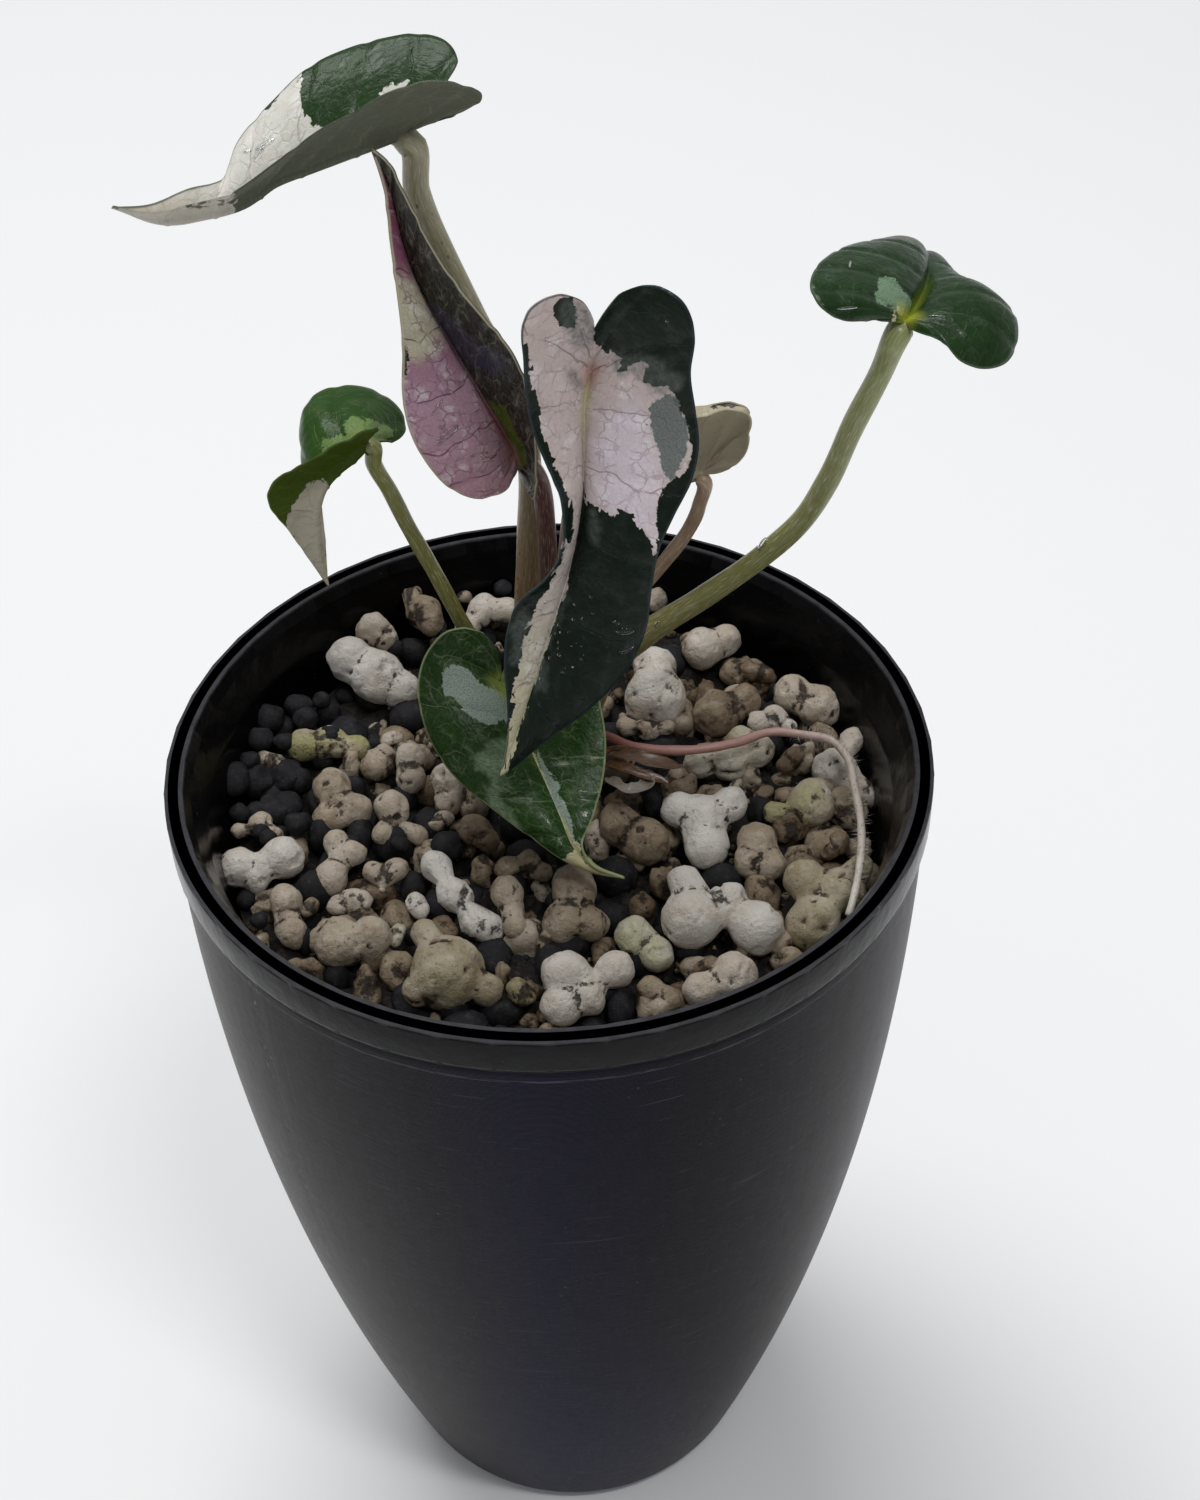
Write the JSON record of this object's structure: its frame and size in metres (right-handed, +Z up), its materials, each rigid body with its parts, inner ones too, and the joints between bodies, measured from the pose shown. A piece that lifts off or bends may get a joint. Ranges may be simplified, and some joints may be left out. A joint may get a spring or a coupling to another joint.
{
  "type": "potted bambino alocasia",
  "caption": "Small variegated aroid house plant with arrow-shaped leaves, growing through pumice in a black liner pot set in a printed outer pot",
  "frame": {"origin": "centre of the outer pot's flat base, on the surface it stands on", "axes": "+Z up along the pots' common axis, -Y towards the viewer of the picture, +X to the viewer's right"},
  "size_m": [0.0967, 0.09, 0.2042],
  "materials": {
    "pot_print": "satin",
    "liner_plastic": "gloss",
    "grit": "matte",
    "pumice": "matte",
    "bead": "matte",
    "stalk": "satin",
    "leaf_green": "gloss",
    "leaf_pale": "gloss",
    "root": "satin",
    "husk": "satin"
  },
  "bodies": {
    "root": {"outer_pot": "pot_print", "liner_pot": "liner_plastic", "substrate_bed": "grit", "crown": "stalk", "pumice_01": "pumice", "pumice_02": "pumice", "pumice_03": "pumice", "pumice_04": "pumice", "pumice_05": "pumice", "pumice_06": "pumice", "pumice_07": "pumice", "pumice_08": "pumice", "pumice_09": "pumice", "pumice_10": "pumice", "pumice_11": "pumice", "pumice_12": "pumice", "pumice_13": "pumice", "pumice_14": "pumice", "pumice_15": "pumice", "pumice_16": "pumice", "pumice_17": "pumice", "pumice_18": "pumice", "pumice_19": "pumice", "pumice_20": "pumice", "pumice_21": "pumice", "pumice_22": "pumice", "pumice_23": "pumice", "pumice_24": "pumice", "pumice_25": "pumice", "pumice_26": "pumice", "pumice_27": "pumice", "pumice_28": "pumice", "pumice_29": "pumice", "pumice_30": "pumice", "pumice_31": "pumice", "pumice_32": "pumice", "pumice_33": "pumice", "pumice_34": "pumice", "bead_01": "bead", "bead_02": "bead", "bead_03": "bead", "bead_04": "bead", "bead_05": "bead", "petiole_a": "stalk", "petiole_b": "stalk", "petiole_c": "stalk", "petiole_d": "stalk", "petiole_e": "stalk", "petiole_f": "stalk", "petiole_g": "stalk", "leaf_a": "leaf_green", "leaf_b": "leaf_pale", "leaf_c": "leaf_pale", "leaf_d": "leaf_pale", "leaf_e": "leaf_green", "leaf_f": "leaf_green", "leaf_g": "leaf_green", "aerial_root": "root", "dry_sheath": "husk"}
  },
  "joints": []
}
